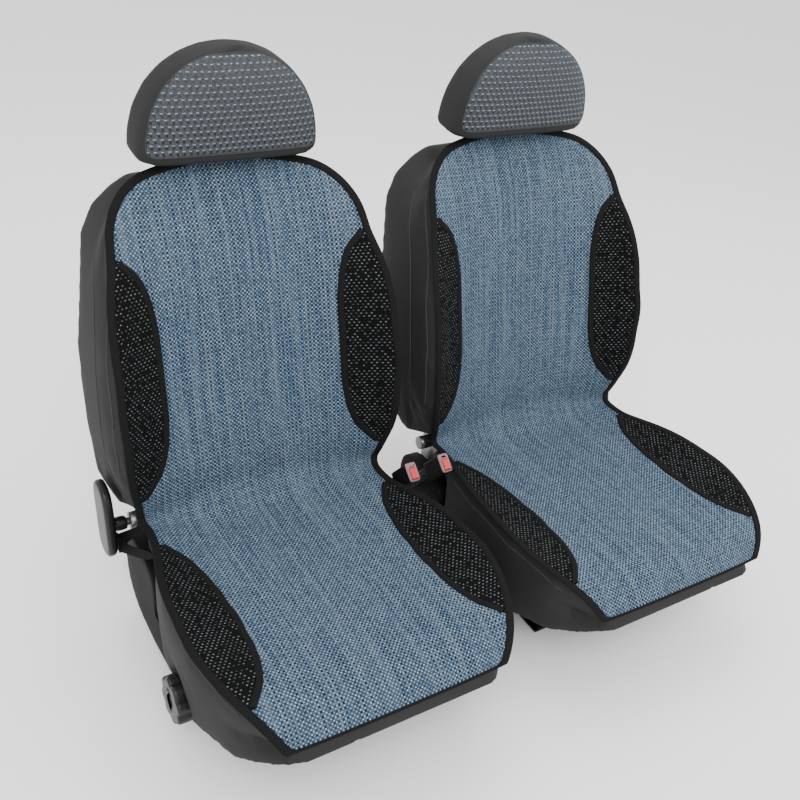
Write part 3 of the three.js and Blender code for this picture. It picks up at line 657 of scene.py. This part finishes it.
def outline_path(surface):
    """The cover's whole outer edge as a closed path, anticlockwise in (x, t)."""
    margin = 1 * MM
    first, last = margin, surface.length - margin
    t = np.arange(first, last, STEP)
    w = surface.half_width(t)
    top = np.arange(w[-1], -w[-1], -STEP)
    front = np.arange(-w[0], w[0], STEP)
    right = np.stack([t, w], 1)
    upper = np.stack([np.full(len(top), last), top], 1)
    left = np.stack([t, -w], 1)[::-1]
    lower = np.stack([np.full(len(front), first), front], 1)
    path = np.concatenate([right, upper, left, lower])
    return blurred(path, 2.6, loop=True)


# Sections across the tape where it binds the edge and where it covers a seam: (distance inward, lift).
EDGE_PROFILE = MM * np.array([
    (-1.0, -3.4), (-2.3, -2.4), (-2.8, -0.4), (-2.2, 1.6), (-0.6, 2.5), (2.5, 2.7), (9.5, 2.5), (11.5, 2.0),
    (12.2, 0.4),
])
SEAM_PROFILE = MM * np.array([(0.0, 0.2), (0.6, 1.8), (3.0, 2.5), (9.0, 2.5), (11.4, 1.8), (12.0, 0.2)])


def build_side_panel(surface, rows, sign, name, zone):
    """A mesh side panel and the tape over the seam that joins it to the centre cloth."""
    under_tape, rim, lift, columns = 3 * MM, 1 * MM, 0.7 * MM, 22

    def panel_x(t, share):
        inner = np.minimum(surface.leaf_edge(t) - under_tape, surface.half_width(t) - rim)
        return sign * (inner + (surface.half_width(t) - inner) * share)

    cloth = cloth_grid(f"{name}_cloth", surface, rows, panel_x, columns, lift)
    thicken(cloth, COVER_THICK)
    inner = np.minimum(surface.leaf_edge(rows), surface.half_width(rows) - TAPE_HALF)
    path = np.stack([rows, sign * (inner - TAPE_HALF)], 1)
    facing = inward_of(path, False)
    if sign * facing[len(facing) // 2, 1] < 0:
        facing = -facing
    tape = tape_along(f"{name}_tape", surface, path, facing, SEAM_PROFILE, False)
    return [(cloth, "spacer_mesh", zone), (tape, "tape", zone)]


def build_cover(surface):
    """The left seat's cover: an (object, kind, body) for each of its cloths and tapes."""
    t_rows = np.arange(0, surface.length, 5 * MM)
    edge, columns = surface.half_width(t_rows), 111
    beside_panel = np.interp(t_rows, surface.t, surface.has_leaf) > 0.5
    reach = np.where(beside_panel, np.minimum(surface.leaf_edge(t_rows) + LAP, edge), edge)
    reach = blurred(reach, 1.2)

    def centre_x(t, share):
        return (2 * share - 1) * np.interp(t, t_rows, reach)

    centre = cloth_grid("left_cover_centre", surface, t_rows, centre_x, columns)
    thicken(centre, COVER_THICK)
    made = [(centre, "tweed", "blend")]
    for (start, end), zone in zip(surface.leaf_spans(), ZONES):
        rows = np.linspace(start - 2 * LAP, end + 2 * LAP, int((end - start) / ROW))
        for sign, place in SIDES:
            made += build_side_panel(surface, rows, sign, f"left_{zone}_side_{place}", zone)
    path = outline_path(surface)
    binding = tape_along("left_cover_edge_tape", surface, path, inward_of(path, True), EDGE_PROFILE, True)
    made.append((binding, "tape", "blend"))
    return made


# ---- Padding -------------------------------------------------------------------------------------
def inflated(obj, free, pressure, cap):
    """Lets the free vertices of a pad swell under a cloth simulation, by at most cap metres."""
    before = positions(obj)
    pins = obj.vertex_groups.new(name="held")
    for index in np.flatnonzero(~free):
        pins.add([int(index)], 1.0, "REPLACE")
    cloth = obj.modifiers.new("cloth", "CLOTH")
    settings = cloth.settings
    settings.quality = 4
    settings.mass = 0.35
    settings.tension_stiffness = 18
    settings.compression_stiffness = 18
    settings.bending_stiffness = 1.2
    settings.use_pressure = True
    settings.uniform_pressure_force = pressure
    settings.vertex_group_mass = "held"
    settings.effector_weights.gravity = 0
    cloth.point_cache.frame_start = 1
    cloth.point_cache.frame_end = SWELL_FRAMES
    scene = bpy.context.scene
    for number in range(1, SWELL_FRAMES + 1):
        scene.frame_set(number)
    graph = bpy.context.evaluated_depsgraph_get()
    swollen = obj.evaluated_get(graph)
    after = np.array([v.co for v in swollen.data.vertices], float)
    obj.modifiers.clear()
    obj.vertex_groups.clear()
    scene.frame_set(1)
    shift = after - before
    size = np.linalg.norm(shift, axis=1, keepdims=True)
    shift *= np.minimum(1, cap / np.maximum(size, 1e-9))
    move_to(obj, before + shift)
    return obj


def remeshed(node, name, voxel, smoothing):
    """A CAD pad turned into an even, rounded mesh."""
    obj = welded(node, name)
    remesh = obj.modifiers.new("remesh", "REMESH")
    remesh.mode = "VOXEL"
    remesh.voxel_size = voxel
    smooth = obj.modifiers.new("smooth", "LAPLACIANSMOOTH")
    smooth.lambda_factor = smoothing
    smooth.iterations = 6
    smooth.use_volume_preserve = True
    apply_modifiers(obj)
    relax(obj, 5)
    obj.data.shade_smooth()
    return obj


def relax(obj, rounds):
    """Averages each vertex with its neighbours, to take the voxel steps out."""
    points = positions(obj)
    edges = np.empty(len(obj.data.edges) * 2, np.int32)
    obj.data.edges.foreach_get("vertices", edges)
    edges = edges.reshape(-1, 2)
    degree = np.bincount(edges.ravel(), minlength=len(points)).astype(float)[:, None]
    for _ in range(rounds):
        total = np.zeros_like(points)
        np.add.at(total, edges[:, 0], points[edges[:, 1]])
        np.add.at(total, edges[:, 1], points[edges[:, 0]])
        points = 0.5 * points + 0.5 * total / np.maximum(degree, 1)
    move_to(obj, points)


def roof_of(surface):
    """A ray-cast tree of the cover's whole top, facing out."""
    rows, columns = np.arange(0, surface.length, ROW), 91
    t, share = np.repeat(rows, columns), np.tile(np.linspace(-1, 1, columns), len(rows))
    points = surface.at(t, share * surface.half_width(t))
    faces = grid_faces(len(rows), columns)
    a, b, c = (Vector(points[i]) for i in faces[len(faces) // 4][:3])
    if (b - a).cross(c - b).dot(SKY) < 0:
        faces = [face[::-1] for face in faces]
    return BVHTree.FromPolygons([tuple(p) for p in points], faces)


def tucked(obj, roof, clearance):
    """Pushes a pad's vertices down until they stay under the cover."""
    search, beyond_edge = 0.03, 1 * MM
    points = positions(obj)
    for k, p in enumerate(points):
        near, normal, _, far = roof.find_nearest(Vector(p), search)
        if near is None:
            continue
        above = (Vector(p) - near).dot(normal)
        beside = math.sqrt(max(far * far - above * above, 0))
        if above > -clearance and beside < beyond_edge:
            points[k] = Vector(p) - normal * (above + clearance)
    move_to(obj, points)
    return obj


def build_pads(roof):
    """The left seat's cushion, backrest and headrest, as (object, kind, body, nodes replaced, fill)."""
    voxel, fine_voxel = ((6 * MM, 5 * MM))
    cushion = remeshed("left_cushion_pad", "left_cushion_upholstery", voxel, 0.6)
    p, n = positions(cushion), normals(cushion)
    free = (np.abs(p[:, 0] - CENTRE_X) > 0.206) & (n[:, 2] > -0.6) & (n[:, 2] < 0.8)  # its sides
    inflated(cushion, free, 4.0, 9 * MM)
    tucked(cushion, roof, UNDER_COVER)

    back = remeshed("left_back_pad", "left_back_upholstery", voxel, 0.6)
    p, n = positions(back), normals(back)
    ahead = n @ np.array(AHEAD)
    free = (np.abs(n[:, 0]) > 0.25) & (ahead > -0.7) & (ahead < 0.85) & (np.abs(p[:, 0] - CENTRE_X) > 0.17)
    inflated(back, free, 4.0, 8 * MM)
    tucked(back, roof, UNDER_COVER)

    head = remeshed("left_headrest_pad", "left_headrest_cover", fine_voxel, 0.5)
    relax(head, 14)
    height = positions(head)[:, 2]
    inflated(head, height - height.min() > 0.02, 3.0, 6 * MM)
    return [
        (cushion, "upholstery", "seat", ["cushion_pad"], 0.8),
        (back, "upholstery", "back", ["back_pad"], 0.8),
        (head, "upholstery", "headrest", ["headrest_pad"], 0.9),
    ]


def tube_along(name, points, radius, closed=False, sides=8):
    """A round piping that follows points."""
    points = np.asarray(points, float)
    step = np.roll(points, -1, 0) - np.roll(points, 1, 0) if closed else np.gradient(points, axis=0)
    step /= np.linalg.norm(step, axis=1, keepdims=True)
    side = np.cross(step, np.array([0.0, 0.0, 1.0]))
    flat = np.linalg.norm(side, axis=1) < 0.2
    side[flat] = np.cross(step[flat], np.array([1.0, 0.0, 0.0]))
    side /= np.linalg.norm(side, axis=1, keepdims=True)
    over = np.cross(side, step)
    angles = np.linspace(0, 2 * math.pi, sides + 1)
    grid = np.stack([points + radius * (math.cos(a) * side + math.sin(a) * over) for a in angles], 1)
    uvs = [(along, angle * radius) for along in run_along(points) for angle in angles]
    return new_object(name, grid.reshape(-1, 3), grid_faces(len(points), sides + 1, closed), uvs)


def inset_outline(reach, levels, inset):
    """Draws in an arch, given as its half-width at each level, by inset; returns evenly spaced levels."""
    arch = np.stack([reach, levels], 1)
    arch = np.concatenate([arch, [[0.0, levels[-1] + reach[-1] * 0.1]]])
    along = np.gradient(arch, axis=0)
    along /= np.linalg.norm(along, axis=1, keepdims=True)
    inner = arch + inset * np.stack([-along[:, 1], along[:, 0]], 1)
    inner = inner[(inner[:, 0] > 0) & (inner[:, 1] > levels[0] + 0.5 * inset)]
    inner = inner[np.argsort(inner[:, 1])]
    count, narrowest = 44, 3 * MM
    rows = np.linspace(inner[0, 1], inner[-1, 1], count)
    half = np.interp(rows, inner[:, 1], inner[:, 0])
    return np.maximum(half, narrowest), rows


def build_headrest_panel(head):
    """The patterned front of the headrest, as cloth laid on the padded shape, with piping round it."""
    tree, _ = tree_of(head)
    lo, hi = positions(head).min(0), positions(head).max(0)
    middle = Vector((CENTRE_X, (lo[1] + hi[1]) / 2, (lo[2] + hi[2]) / 2))
    tall = Vector((0, 0.13, 0.99)).normalized()  # up the headrest's face
    front = Vector((0, -tall.z, tall.y))
    away = 0.3  # where the rays start from, and the most that they look to each side

    def cast(x, level):
        origin = middle + tall * level + front * away
        origin.x = CENTRE_X + x
        hit, normal, _, _ = tree.ray_cast(origin, -front, 2 * away)
        return hit, normal

    levels, reach = [], []
    for level in np.arange(-0.5, 0.5, 0.02) * (hi[2] - lo[2]):
        x = 0.0
        while x < away and cast(x, level)[0] is not None:
            x += TINY
        if x > 6 * MM:
            levels.append(level)
            reach.append(x)
    half, rows = inset_outline(blurred(reach, 0.8), np.array(levels), HEADREST_INSET)
    points, uvs = [], []
    for level, width in zip(rows, half):
        for share in np.linspace(-1, 1, PANEL_COLUMNS):
            hit, normal = cast(share * width, level)
            points.append(hit + normal * PANEL_LIFT)
            uvs.append((share * width, level))
    panel = new_object("left_headrest_front", points, grid_faces(len(rows), PANEL_COLUMNS), uvs)
    relax_inside(panel, len(rows), PANEL_COLUMNS, 3)
    thicken(panel, PANEL_THICK)
    grid = positions(panel)[:len(rows) * PANEL_COLUMNS].reshape(len(rows), PANEL_COLUMNS, 3)
    rim = np.concatenate([grid[0, :], grid[1:, -1], grid[-1, -2::-1], grid[-2:0:-1, 0]])
    keep = [0]
    for k in range(1, len(rim)):
        if np.linalg.norm(rim[k] - rim[keep[-1]]) > 3 * MM:
            keep.append(k)
    piping = tube_along("left_headrest_piping", blurred(rim[keep], 1.2, loop=True), 1.1 * MM, closed=True)
    return panel, piping


def relax_inside(obj, rows, columns, rounds):
    """Averages each vertex of a grid with its neighbours, but leaves the rim where it is."""
    points = positions(obj).reshape(rows, columns, 3)
    for _ in range(rounds):
        mean = (points[2:, 1:-1] + points[:-2, 1:-1] + points[1:-1, 2:] + points[1:-1, :-2]) / 4
        points[1:-1, 1:-1] = 0.5 * points[1:-1, 1:-1] + 0.5 * mean
    move_to(obj, points.reshape(-1, 3))


def seam_line(surface, tree, zone, sign, drop, span):
    """Points down one side of a pad, at a distance below the cover's edge."""
    down = Vector((0, 0, -1)) if zone == "seat" else -AHEAD
    line = []
    for t in np.arange(*span, ROW):
        origin = Vector(surface.at(t, sign * surface.half_width(t))[0]) + down * drop
        origin.x = CENTRE_X + sign * 0.40
        hit, normal, _, _ = tree.ray_cast(origin, Vector((-sign, 0, 0)), 0.3)
        if hit is not None:
            line.append(hit + normal * 0.2 * MM)
    return line


def build_piping(surface, cushion, back):
    """Seams of the upholstery below the cover's edge, on each side of the cushion and the backrest."""
    made, fewest = [], 12  # points in a seam
    for obj, zone, drops, span in (
        (cushion, "seat", (30 * MM,), (0.10, surface.t_crease - 0.10)),
        (back, "back", (26 * MM, 74 * MM), (surface.t_crease + 0.09, surface.length - 0.10)),
    ):
        tree, _ = tree_of(obj)
        for number, drop in enumerate(drops, 1):
            for sign, place in SIDES:
                line = seam_line(surface, tree, zone, sign, drop, span)
                if len(line) > fewest:
                    smooth = blurred(np.array([list(p) for p in line]), 2.5)
                    tube = tube_along(f"left_{zone}_piping_{place}_{number}", smooth, 1.5 * MM)
                    made.append((tube, "piping", zone))
    return made


# ---- Hard parts ----------------------------------------------------------------------------------
SOFT_PARTS = {"cushion_pad", "back_pad", "headrest_pad", "seat_mat", "back_mat", "seat_side_out",
              "seat_side_in", "back_side_out", "back_side_in"}  # made above, from cloth and padding
SMOOTH_LEVELS = {"hand_wheel": 3, "recliner_handle": 3, "buckle_body": 3, "buckle_button": 3,
                 "side_shield_out": 2, "side_shield_in": 2, "headrest_posts": 2, "recliner_shaft": 2,
                 "back_panel": 2, "floor_rails": 0, "slider": 0}  # rounds of subdivision, 1 where not named
SOFT_EDGES = {"hand_wheel": 0.45, "recliner_handle": 0.35, "buckle_body": 0.7, "buckle_button": 0.6}
CRISP = 0.9  # edge crease of the other parts
MATT_PARTS = {"side_shield_out", "side_shield_in", "buckle_body"}
FLAT_ANGLE, EDGE_ANGLE, SHARP_ANGLE = (math.radians(a) for a in (2, 34, 38))


def refined(node, name, levels, edge_crease):
    """A CAD part with its facets rounded off, keeping its sharp edges."""
    obj = welded(node, name)
    work = bmesh.new()
    work.from_mesh(obj.data)
    bmesh.ops.dissolve_limit(work, angle_limit=FLAT_ANGLE, verts=work.verts, edges=work.edges)
    crease = work.edges.layers.float.new("crease_edge")
    for edge in work.edges:
        if len(edge.link_faces) == 2 and edge.calc_face_angle(0) > EDGE_ANGLE:
            edge[crease] = edge_crease
    work.to_mesh(obj.data)
    work.free()
    subdivision = obj.modifiers.new("round", "SUBSURF")
    subdivision.levels = subdivision.render_levels = levels
    apply_modifiers(obj)
    obj.data.shade_smooth()
    if edge_crease > 0.75:
        obj.data.set_sharp_from_angle(angle=SHARP_ANGLE)
    return obj


def build_hard_parts():
    """Every CAD part that is not cloth, with its edges rounded and its own material."""
    for node, obj in frame["nodes"].items():
        side, part = node.split("_", 1)
        if part in SOFT_PARTS:
            continue
        material = MATERIALS["matt_plastic" if part in MATT_PARTS else SLOTS[node]]
        body = obj["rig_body"]
        piece = refined(node, f"{node}_looks", SMOOTH_LEVELS.get(part, 1), SOFT_EDGES.get(part, CRISP))
        piece.data.materials.append(material)
        if part == "buckle_body":
            paint_bezel(piece, side)
        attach(piece, body)
        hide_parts(node)


def paint_bezel(piece, side):
    """The pale end face of a belt buckle, round its button."""
    face_depth = 4 * MM
    press = -Vector(JOINTS[f"{side}_buckle_press"]["axis"]).normalized()
    piece.data.materials.append(MATERIALS["bezel"])
    top = max(v.co.dot(press) for v in piece.data.vertices)
    for polygon in piece.data.polygons:
        if polygon.center.dot(press) > top - face_depth:
            polygon.material_index = 1


# ---- Putting it together -------------------------------------------------------------------------
def finish_piece(obj, kind, bodies, side):
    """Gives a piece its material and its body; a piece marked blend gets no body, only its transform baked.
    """
    obj.data.materials.clear()
    obj.data.materials.append(MATERIALS[kind])
    if bodies == "blend":
        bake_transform(obj)
    else:
        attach(obj, f"{side}_{bodies}")


def both_sides(obj, kind, bodies, nodes=()):
    """Finishes the left piece and its mirror image on the right, and returns both."""
    pair = [("left", obj), ("right", mirrored_copy(obj, obj.name.replace("left_", "right_", 1)))]
    for side, piece in pair:
        finish_piece(piece, kind, bodies, side)
        if nodes:
            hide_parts(*[f"{side}_{n}" for n in nodes])
    return pair


surface = CoverSurface()
BLEND = (
    Vector(surface.at(surface.t_crease - 0.035, 0)[0]),
    Vector(surface.at(surface.t_crease + 0.045, 0)[0]),
)
for point in BLEND:
    point.x = 0

cover = build_cover(surface)
pads = build_pads(roof_of(surface))
cushion, back, head = (pad[0] for pad in pads)
piping = build_piping(surface, cushion, back)
panel, panel_piping = build_headrest_panel(head)

for obj, kind, where, nodes, fill in pads:
    for side, piece in both_sides(obj, kind, where, nodes):
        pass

for obj, kind, where in cover:
    nodes = []
    if kind == "tweed":
        nodes = ["seat_mat", "back_mat"]
    elif kind == "spacer_mesh":
        nodes = [f"{where}_side_out" if "_out_" in obj.name else f"{where}_side_in"]
    both_sides(obj, kind, where, nodes)

for side in ("left", "right"):
    for (start, end), zone in zip(surface.leaf_spans(), ZONES):
        width, area = surface.panel_size(start, end)
        for place in ("out", "in"):
            piece = bpy.data.objects[f"{side}_{zone}_side_{place}_cloth"]

for obj, kind, where in piping:
    both_sides(obj, kind, where)
for side, piece in both_sides(panel, "headrest_cloth", "headrest"):
    lo, hi = positions(piece).min(0), positions(piece).max(0)
both_sides(panel_piping, "piping", "headrest")
build_hard_parts()


# ---- Floor, light, camera ------------------------------------------------------------------------
def build_stage():
    """White paper under the seats, an even white sky and three soft lamps."""
    half = 14.0
    corners = [(-half, -half, 0), (half, -half, 0), (half, half, 0), (-half, half, 0)]
    floor = new_object("floor", corners, [(0, 1, 2, 3)])
    floor.location.z = -0.5 * MM
    paper = Nodes("paper")
    floor.data.materials.append(paper.surface(rgb(0.93, 0.93, 0.93), 0.9))
    world = bpy.data.worlds.new("studio")
    bpy.context.scene.world = world
    world.use_nodes = True
    background = world.node_tree.nodes["Background"]
    background.inputs["Color"].default_value = rgb(1.0, 1.0, 1.0)
    background.inputs["Strength"].default_value = 1.45
    aim = Vector((0, 0, 0.5))
    for name, place, size, power in (
        ("key", (-1.8, -2.4, 3.2), 2.2, 120),
        ("fill", (2.6, -1.6, 2.2), 2.6, 45),
        ("top", (0.2, 0.9, 3.4), 2.4, 55),
    ):
        light = bpy.data.lights.new(name, "AREA")
        light.size = size
        light.energy = power
        lamp = bpy.data.objects.new(name, light)
        lamp.location = place
        lamp.rotation_mode = "QUATERNION"
        lamp.rotation_quaternion = (aim - Vector(place)).to_track_quat("-Z", "Y")
        bpy.context.scene.collection.objects.link(lamp)


CAMERA = {"azimuth": -35.8, "elevation": 32.9, "roll": 7.9, "lens": 44.15,
          "place": (-0.99155, -1.22292, 1.47605)}


def build_camera():
    """A camera in front of the left seat's outer corner, a little above it and slightly rolled."""
    azimuth, elevation, roll = (math.radians(CAMERA[angle]) for angle in ("azimuth", "elevation", "roll"))
    level = math.cos(elevation)
    back = Vector((math.sin(azimuth) * level, -math.cos(azimuth) * level, math.sin(elevation)))
    right = (-back).cross(Vector((0, 0, 1))).normalized()
    over = right.cross(-back)
    cos, sin = math.cos(roll), math.sin(roll)
    right, over = right * cos + over * sin, over * cos - right * sin
    data = bpy.data.cameras.new("camera")
    data.sensor_width = 36
    data.lens = CAMERA["lens"]
    camera = bpy.data.objects.new("camera", data)
    turn = Matrix((right, over, back)).transposed()
    camera.rotation_mode = "QUATERNION"
    camera.rotation_quaternion = turn.to_quaternion()
    camera.location = CAMERA["place"]
    data.clip_end = 100
    bpy.context.scene.collection.objects.link(camera)
    bpy.context.scene.camera = camera


build_stage()
build_camera()
